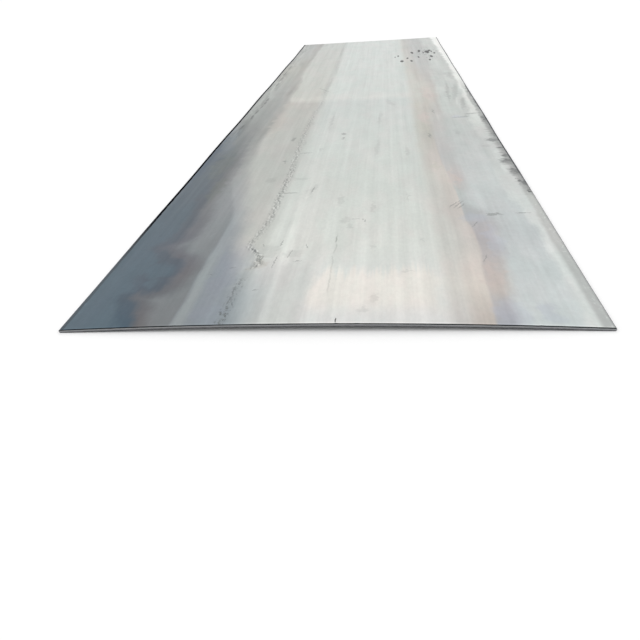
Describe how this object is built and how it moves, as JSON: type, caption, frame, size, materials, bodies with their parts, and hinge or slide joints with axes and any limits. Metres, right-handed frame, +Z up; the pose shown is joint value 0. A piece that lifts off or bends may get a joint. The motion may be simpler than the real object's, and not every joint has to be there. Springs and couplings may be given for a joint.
{
  "type": "steel plate",
  "caption": "Hot-rolled structural steel plate with rounded mill edges and sheared ends, lying flat, with a slight arch at one end and gentle side waves.",
  "frame": {"origin": "middle of the underside, on the floor that the plate lies on", "axes": "+X across the plate, +Y along its length towards the end that curls up, +Z up, out of the top face"},
  "size_m": [1.5, 6, 0.028],
  "materials": {
    "mill_scale": "hot-rolled mill scale, blue-grey to silvery, with heat tint along the sides, streaked along the rolling direction"
  },
  "bodies": {
    "root": {"plate": "mill_scale"}
  },
  "joints": []
}
